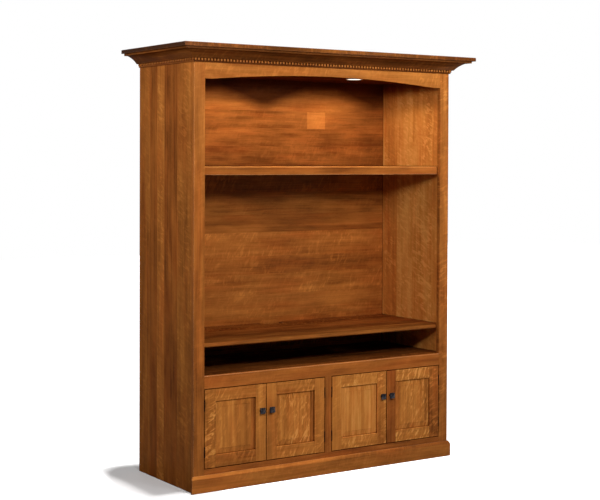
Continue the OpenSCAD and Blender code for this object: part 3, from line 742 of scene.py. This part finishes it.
# %% Doors
DOORS = {
    "left_outer": ((0.55, 1.0, 0.0), (0.64, 0.3, 0.0), (0.54, 0.5, 0.0)),
    "left_inner": ((0.66, 0.4, 0.0), (0.60, 0.2, 0.0), (0.62, 0.7, 0.0)),
    "right_inner": ((0.62, 0.2, 0.0), (0.66, 0.8, 0.0), (0.70, 1.0, 0.0)),
    "right_outer": ((0.47, 0.6, 0.2), (0.45, 0.1, 0.4), (0.68, 1.0, 0.0)),
}
PANELS = {
    "left_outer": [(-0.650, (0.70, 0.3, 0.0)), (-0.520, (0.56, 0.3, 0.0)), (-0.440, (0.48, 0.1, 0.2))],
    "left_inner": [(-0.320, (0.64, 0.8, 0.0)), (-0.200, (0.72, 1.0, 0.0)), (-0.105, (0.46, 0.2, 0.2))],
    "right_inner": [(0.070, (0.80, 0.1, 0.1)), (0.180, (0.86, 0.1, 0.0)), (0.285, (0.72, 0.2, 0.2))],
    "right_outer": [(0.400, (0.64, 0.7, 0.0)), (0.510, (0.70, 1.0, 0.0)), (0.600, (0.60, 0.8, 0.0))],
}
PANEL_LEAN, PANEL_FIGURE = 1.25, 0.72
for door, (hinge_look, meeting_look, rail_look) in DOORS.items():
    plank(f"{door}_hinge_stile", "z", "x", *hinge_look)
    plank(f"{door}_meeting_stile", "z", "x", *meeting_look)
    plank(f"{door}_rails", "x", "z", *rail_look)
    glued(f"{door}_panel", "z", "x", PANELS[door], lean=PANEL_LEAN, figure=PANEL_FIGURE)
print("doors:", len(DOORS))

# %% [markdown]
# ## Painted edge highlights
# The edges that stand free catch a thin line of light, and a painted highlight lies on them: on the
# outer front corner of the left stile most, then on the top of the mid rail and the upper shelf. The
# edge mask could be used at full strength everywhere, but it also finds edges that are glued flush to
# a neighbour. So each piece says how strong its painted highlight is, and where only one edge is free,
# a window picks it.


# %% Painted edge highlights
# Paints a highlight on the free edges of a piece, limited by a window where one is given.
def paint_highlight(name, highlight, ranges=None):
    tree, wood_inputs = wood_of(name)
    if ranges:
        highlight = calc(tree, "MULTIPLY", window(tree, ranges), highlight)
    feed(tree, wood_inputs["Edge highlight"], highlight)


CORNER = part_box("left_frame_stile")[0]
RAIL_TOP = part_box("mid_rail")[1].z
CORNER_HIGHLIGHT_WIDTH, RAIL_HIGHLIGHT_WIDTH = 0.004, 0.0015
OUTER_CORNER = {"X": (-BEYOND, CORNER.x + CORNER_HIGHLIGHT_WIDTH), "Y": (-BEYOND, CORNER.y + CORNER_HIGHLIGHT_WIDTH)}
ALL_EDGES = {"upper_shelf_nosing": 0.6, "tv_shelf": 0.4, "base_moulding": 0.3, "crown_cap": 0.1}

paint_highlight("left_frame_stile", 1.0, OUTER_CORNER)
paint_highlight("mid_rail", 0.6, {"Z": (RAIL_TOP - RAIL_HIGHLIGHT_WIDTH, BEYOND)})
for name, highlight in ALL_EDGES.items():
    paint_highlight(name, highlight)
print("corner at", [round(side, 4) for side in CORNER])

# %% [markdown]
# ## Light and shade along a piece
# On the real case the front stiles grow lighter toward the top, the inner face of the right stile is
# darker than its front, the rounded top of the upper shelf's nosing is paler than its face, and the
# bevel of the base turns dull toward the right. All of this is light and shade, painted here into the
# tone: a painted falloff of light down the stiles, painted shade on the inner face, a painted
# highlight on the nosing and painted shade on the bevel. Extra lamps could do this, but each would
# also light the pieces round it. A small change of tone stays on its own piece.

# %% Light and shade along a piece
STILE_HEIGHTS = (0.2, 2.0)
LEFT_SHADES, RIGHT_SHADES = (-0.06, 0.06), (-0.05, 0.07)
STILE_INSIDE, INSIDE_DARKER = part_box("right_frame_stile")[0].x, -0.12
NOSING_TOP, NOSING_ROUND, NOSING_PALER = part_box("upper_shelf_nosing")[1].z, 0.0045, 0.40
BASE_TOP, BASE_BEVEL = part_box("base_moulding")[1].z, 0.0155
BEVEL_STRETCH, BEVEL_SHADES = (0.0, 0.55), (0.0, -0.26)

# Painted light falloff on the stiles, painted shade on the right stile's inner face, a painted highlight
# on the nosing's top and painted shade growing to the right on the base's bevel.
shift_tone("left_frame_stile", ("Z", *STILE_HEIGHTS, *LEFT_SHADES))
shift_tone("right_frame_stile", ("Z", *STILE_HEIGHTS, *RIGHT_SHADES))
shift_tone("right_frame_stile", INSIDE_DARKER, {"X": (0.0, STILE_INSIDE + SKIN)})
shift_tone("upper_shelf_nosing", NOSING_PALER, {"Z": (NOSING_TOP - NOSING_ROUND, BEYOND)})
shift_tone("base_moulding", ("X", *BEVEL_STRETCH, *BEVEL_SHADES), {"Z": (BASE_TOP - BASE_BEVEL, BEYOND)})
print("top of the base at", round(1000 * BASE_TOP), "mm, of the nosing at", round(1000 * NOSING_TOP), "mm")

# %% [markdown]
# ## Eased edges
# No sanded edge is knife sharp, and the small round that sandpaper leaves catches a line of light. It
# could be modelled in the solids, at the cost of thousands of tiny faces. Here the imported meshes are
# welded, their flat faces joined back into whole faces, and each sharp edge gets a narrow bevel.
# Modifiers leave the frame's own mesh as it is, and the bevel only ever removes wood, so the piece
# keeps its size.

# %% Eased edges
EDGE = {"case": 0.0006, "door": 0.0013, "metal": 0.0003}
WELD_DISTANCE = 1e-5
FLAT_ANGLE, SHARP_ANGLE = math.radians(0.5), math.radians(35)
BEVEL_STEPS = 2
METAL_WORDS = ("knob", "hinge_leaves", "frame_leaves", "pins", "catches", "puck")
DOOR_WORDS = ("hinge_stile", "meeting_stile", "rails")


def edge_kind(name):
    if any(word in name for word in METAL_WORDS):
        return "metal"
    return "door" if name.endswith(DOOR_WORDS) else "case"


def ease(piece, width):
    weld = piece.modifiers.new("weld", "WELD")
    weld.merge_threshold = WELD_DISTANCE
    flat = piece.modifiers.new("whole faces", "DECIMATE")
    flat.decimate_type = "DISSOLVE"
    flat.angle_limit = FLAT_ANGLE
    bevel = piece.modifiers.new("eased edges", "BEVEL")
    bevel.width = width
    bevel.segments = BEVEL_STEPS
    bevel.limit_method = "ANGLE"
    bevel.angle_limit = SHARP_ANGLE
    bevel.harden_normals = True


for name, piece in nodes.items():
    ease(piece, EDGE[edge_kind(name)])
kinds = [edge_kind(name) for name in nodes]
print("eased pieces:", {kind: kinds.count(kind) for kind in EDGE})

# %% [markdown]
# ## Dark bronze
# The square knobs are dark metal with a cool shine that rubs through to a dull brown in soft spots.
# The hinges have the same finish made nearly black and hardly metallic, which is painted shade: their
# dark colour stands for the shade of the gaps they sit in. The shelf pins are pale zinc. Each finish
# could be built by itself, but all three are cast or plated metal with a cloudy surface. So one group
# holds the clouds and the grit, and each metal brings its two colours.

# %% Bronze group
CLOUD_SIZE, GRIT_SIZE = (90, 90, 4), (1800, 1800, 2)
WORN_RANGE = (0.48, 0.75)
CLOUD_RANGE, METAL_ROUGHNESS = (0.3, 0.7), (0.28, 0.46)

bronze, takes, gives = new_group(
    "Rubbed bronze",
    [
        ("Point", "Vector", None),
        ("Dark", "Color", (0.02, 0.02, 0.025, 1)),
        ("Worn", "Color", (0.1, 0.06, 0.04, 1)),
    ],
    [("Colour", "Color"), ("Roughness", "Float"), ("Height", "Float")],
)
clouds = pattern(bronze, takes["Point"], *CLOUD_SIZE)
worn = remap(bronze, clouds, *WORN_RANGE)
feed(bronze, gives["Colour"], mix(bronze, worn, takes["Dark"], takes["Worn"]))
feed(bronze, gives["Roughness"], remap(bronze, clouds, *CLOUD_RANGE, *METAL_ROUGHNESS))
feed(bronze, gives["Height"], pattern(bronze, takes["Point"], *GRIT_SIZE))
print("group:", bronze.name)

# %% [markdown]
# Each knob and hinge could have a material of its own, but fittings come alike from one box. So the
# knobs share one material, and so do all the leaves and pins of the hinges. The hinges lose their
# shine altogether, because they sit deep in the gaps and a glint there would look like a missing
# piece.

# %% Knobs, hinges and shelf pins
METAL_RELIEF = (0.3, 0.0001)
BRIGHT_METAL, DULL_METAL = 0.9, 0.2
KNOB_COLOURS = (0.008, 0.008, 0.011), (0.045, 0.033, 0.030)
# The hinges' nearly black colours are painted shade: they stand for the dark of the gaps they sit in.
HINGE_COLOURS = (0.010, 0.005, 0.003), (0.026, 0.012, 0.006)
ZINC_COLOURS = (0.42, 0.43, 0.45), (0.62, 0.62, 0.60)


def bronze_material(name, dark, worn, metallic=BRIGHT_METAL):
    material, tree, shader = new_material(name)
    point = place(tree, "ShaderNodeTexCoord", {}).outputs["Object"]
    inputs = {"Point": point, "Dark": (*dark, 1), "Worn": (*worn, 1)}
    finish = place(tree, "ShaderNodeGroup", inputs, node_tree=bronze)
    apply_finish(tree, shader, finish.outputs, *METAL_RELIEF)
    shader.inputs["Metallic"].default_value = metallic
    return material


knob_bronze = bronze_material("knob_bronze", *KNOB_COLOURS)
hinge_bronze = bronze_material("hinge_bronze", *HINGE_COLOURS, DULL_METAL)
zinc = bronze_material("shelf_pin_zinc", *ZINC_COLOURS)
for door in DOORS:
    dress(f"{door}_knob", knob_bronze)
    dress(f"{door}_hinge_leaves", hinge_bronze)
for name in ("hinge_frame_leaves", "hinge_pins"):
    dress(name, hinge_bronze)
dress("shelf_pins", zinc)
shader_of("hinge_pins").inputs["Specular IOR Level"].default_value = 0.0
print("knobs:", len(DOORS), "metals:", [metal.name for metal in (knob_bronze, hinge_bronze, zinc)])

# %% [markdown]
# ## Plastic and glass
# The catches are black plastic with a fine moulded grain. The puck lights have white housings and
# frosted lenses, which glow because their lamps are on. Real frosted glass could be made with
# transmission, but a lit lens shows nothing behind it. So one moulded surface serves all three, and
# the lens gives off light of its own.

# %% Plastic group
MOTTLE_SIZE, TEXTURE_SIZE = (60, 60, 2), (1500, 1500, 1)
MOTTLE_SHADES = [(0, (0.82, 0.82, 0.82)), (1, (1, 1, 1))]
MOTTLE_RANGE, PLASTIC_ROUGHNESS = (0.3, 0.7), (0.36, 0.48)

moulded, takes, gives = new_group(
    "Moulded plastic",
    [("Point", "Vector", None), ("Tint", "Color", (0.5, 0.5, 0.5, 1))],
    [("Colour", "Color"), ("Roughness", "Float"), ("Height", "Float")],
)
mottle = pattern(moulded, takes["Point"], *MOTTLE_SIZE)
shades = ramp(moulded, mottle, MOTTLE_SHADES)
feed(moulded, gives["Colour"], mix(moulded, 1.0, takes["Tint"], shades, "MULTIPLY"))
feed(moulded, gives["Roughness"], remap(moulded, mottle, *MOTTLE_RANGE, *PLASTIC_ROUGHNESS))
feed(moulded, gives["Height"], pattern(moulded, takes["Point"], *TEXTURE_SIZE))
print("group:", moulded.name)

# %% [markdown]
# Each plastic part brings its own tint to that group. Only the lens has more: a warm glow, set
# brighter than white, so that it stays the brightest spot under the dark ceiling.

# %% Catches and puck lights
PLASTIC_RELIEF = (0.2, 0.0001)
TINTS = {
    "magnetic_catches": ("catch_plastic", (0.02, 0.02, 0.02)),
    "puck_light_housings": ("puck_plastic", (0.80, 0.79, 0.76)),
    "puck_light_lenses": ("puck_lens", (0.85, 0.83, 0.78)),
}
WARM_GLOW, GLOW_STRENGTH = (1.0, 0.93, 0.80, 1.0), 2.5


def plastic_material(name, tint):
    material, tree, shader = new_material(name)
    point = place(tree, "ShaderNodeTexCoord", {}).outputs["Object"]
    finish = place(tree, "ShaderNodeGroup", {"Point": point, "Tint": (*tint, 1)}, node_tree=moulded)
    apply_finish(tree, shader, finish.outputs, *PLASTIC_RELIEF)
    return material


for name, (material_name, tint) in TINTS.items():
    dress(name, plastic_material(material_name, tint))
lens_inputs = shader_of("puck_light_lenses").inputs
lens_inputs["Emission Color"].default_value = WARM_GLOW
lens_inputs["Emission Strength"].default_value = GLOW_STRENGTH
print("lenses glow at", GLOW_STRENGTH)

# %% [markdown]
# ## Studio
# The unit stands in a white studio, with no line between floor and wall. A very bright floor would
# give that white too, but it would also light the case from below. So the floor is pale only where
# the camera, or a mirror, looks at it. For all other light it is dark and throws little on the case.

# %% Floor
FLOOR_REACH, FLOOR_DROP = 14.0, 0.0005
FLOOR_CORNERS = ((-1, -1), (1, -1), (1, 1), (-1, 1))
PALE, BOUNCED = (0.80, 0.79, 0.79, 1.0), (0.16, 0.15, 0.14, 1.0)
WHITE = (1.0, 1.0, 1.0, 1.0)
FLOOR_ROUGHNESS = 0.9

floor_mesh = bpy.data.meshes.new("studio_floor")
points = [(x * FLOOR_REACH, y * FLOOR_REACH, -FLOOR_DROP) for x, y in FLOOR_CORNERS]
floor_mesh.from_pydata(points, [], [(0, 1, 2, 3)])
floor = bpy.data.objects.new("studio_floor", floor_mesh)
bpy.context.scene.collection.objects.link(floor)


def seen_directly(tree):
    path = place(tree, "ShaderNodeLightPath", {})
    seen = calc(tree, "MAXIMUM", path.outputs["Is Camera Ray"], path.outputs["Is Glossy Ray"])
    return calc(tree, "MAXIMUM", seen, path.outputs["Is Transmission Ray"])


floor_material, tree, shader = new_material("studio_floor")
floor_mesh.materials.append(floor_material)
feed(tree, shader.inputs["Base Color"], mix(tree, seen_directly(tree), BOUNCED, PALE))
shader.inputs["Roughness"].default_value = FLOOR_ROUGHNESS
shader.inputs["Specular IOR Level"].default_value = 0.0
shader.inputs["Emission Color"].default_value = WHITE
print("floor reach:", FLOOR_REACH)

# %% [markdown]
# Beside its left side the unit has one soft shadow, and the rest of the floor is pure white. Lamps
# alone would leave the whole floor a little grey. So the floor adds light of its own, again only for
# the camera and for mirrors, and adds little inside a slender round patch beside the left side, where
# the cornice's shadow falls. The world behind the floor does the same for the background.

# %% Shadow patch and background
NEAR_GLOW, FAR_GLOW = 0.17, 1.0
SHADOW_MIDDLE = (-0.78, 0.02, 0.0)
SHADOW_SLENDER = (2.2, 1.0, 1.0)
SHADOW_RIM = (0.42, 0.53)
AMBIENT = 0.022

point = place(tree, "ShaderNodeTexCoord", {}).outputs["Object"]
offset = vector_calc(tree, "SUBTRACT", point, SHADOW_MIDDLE)
slender = vector_calc(tree, "MULTIPLY", offset, SHADOW_SLENDER)
distance = vector_calc(tree, "LENGTH", slender, output="Value")
glow = remap(tree, distance, *SHADOW_RIM, NEAR_GLOW, FAR_GLOW)
feed(tree, shader.inputs["Emission Strength"], calc(tree, "MULTIPLY", glow, seen_directly(tree)))

world = bpy.data.worlds.new("studio_world")
bpy.context.scene.world = world
world.use_nodes = True
background = world.node_tree.nodes["Background"].inputs
background["Color"].default_value = WHITE
strength = remap(world.node_tree, seen_directly(world.node_tree), 0.0, 1.0, AMBIENT, 1.0)
feed(world.node_tree, background["Strength"], strength)
print("ambient light:", AMBIENT)

# %% [markdown]
# ## Lamps
# The shadow of the cornice falls on the floor close beside the real case, so its main light hangs
# high. A lamp just above it would spread that shadow wide, so a sun is used, whose rays all run the
# same way, from almost straight overhead. It is two degrees wide, which softens the shadow's rim.


# %% High sun
def add_lamp(name, kind, energy, place_at, target, **settings):
    data = bpy.data.lights.new(name, kind)
    data.energy = energy
    for key, value in settings.items():
        setattr(data, key, value)
    lamp = bpy.data.objects.new(name, data)
    bpy.context.scene.collection.objects.link(lamp)
    lamp.visible_camera = False
    lamp.location = place_at
    lamp.rotation_euler = (Vector(target) - Vector(place_at)).to_track_quat("-Z", "Y").to_euler()
    return lamp


SUN_STRENGTH, SUN_PLACE, SUN_WIDTH = 2.2, (0.22, -0.47, 6.0), math.radians(2)
add_lamp("top_light", "SUN", SUN_STRENGTH, SUN_PLACE, (0.0, 0.0, 0.0), angle=SUN_WIDTH)
print("lean of the sun in degrees:", round(math.degrees(Vector(SUN_PLACE).angle(Vector((0, 0, 1)))), 1))

# %% [markdown]
# The mouldings and the steps of the doors show by the soft shadows of lamps in front. One big lamp
# would be simpler, but it would flatten them. Three small softboxes in front, at the centre, left and
# right, light the doors and the inside. Two more, a key and a weak fill with a grid, light the left
# side, and a large one fills the back for views from behind. None of them shows in the picture, and
# the right one doesn't mirror in the lacquer either. Each row gives power in watts, place and target.

# %% Softboxes
SMALL, LARGE, GRID = 0.35, 1.2, math.radians(105)
MIDDLE, LEFT_SIDE = (0.0, 0.0, 1.5), (-0.75, 0.0, 1.5)
SOFTBOXES = {
    "centre_key": (20, (0.15, -2.9, 2.15), MIDDLE),
    "left_key": (36, (-1.4, -2.9, 2.2), MIDDLE),
    "right_key": (10, (1.0, -1.5, 2.15), (0.2, 0.0, 1.5)),
    "side_key": (25, (-4.0, -1.8, 2.2), LEFT_SIDE),
    "side_fill": (4, (-2.5, -0.4, 2.08), (-0.75, 0.0, 1.8)),
    "back_fill": (16, (0.7, 3.6, 2.1), (0.0, 0.3, 1.1)),
}
softboxes = {name: add_lamp(name, "AREA", *row, size=SMALL) for name, row in SOFTBOXES.items()}
softboxes["right_key"].visible_glossy = False
softboxes["side_fill"].data.spread = GRID
softboxes["back_fill"].data.size = LARGE
print("softboxes:", len(softboxes))

# %% [markdown]
# The two puck lights are small warm lamps that shine down from the ceiling of the niche. Their
# glowing lenses could light the niche by themselves, but so small a glowing face gives a grainy
# picture. A spot lamp just below each lens gives the same light without the grain.

# %% Puck lamps
BELOW_LENS = 0.004
PUCK_POWER = 7.5
PUCK_LAMP = {
    "color": (1.0, 0.86, 0.68),
    "spot_size": math.radians(158),
    "spot_blend": 0.25,
    "shadow_soft_size": 0.02,
}
lens_low, lens_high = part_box("puck_light_lenses")
LENS_RADIUS = (lens_high.y - lens_low.y) / 2
LENS_X, LENS_Y = lens_high.x - LENS_RADIUS, (lens_low.y + lens_high.y) / 2
for side, x in {"left": -LENS_X, "right": LENS_X}.items():
    spot_at = (x, LENS_Y, lens_low.z - BELOW_LENS)
    add_lamp(f"puck_lamp_{side}", "SPOT", PUCK_POWER, spot_at, (x, LENS_Y, 0.0), **PUCK_LAMP)
print("puck lights at x =", round(-LENS_X, 3), "and", round(LENS_X, 3))
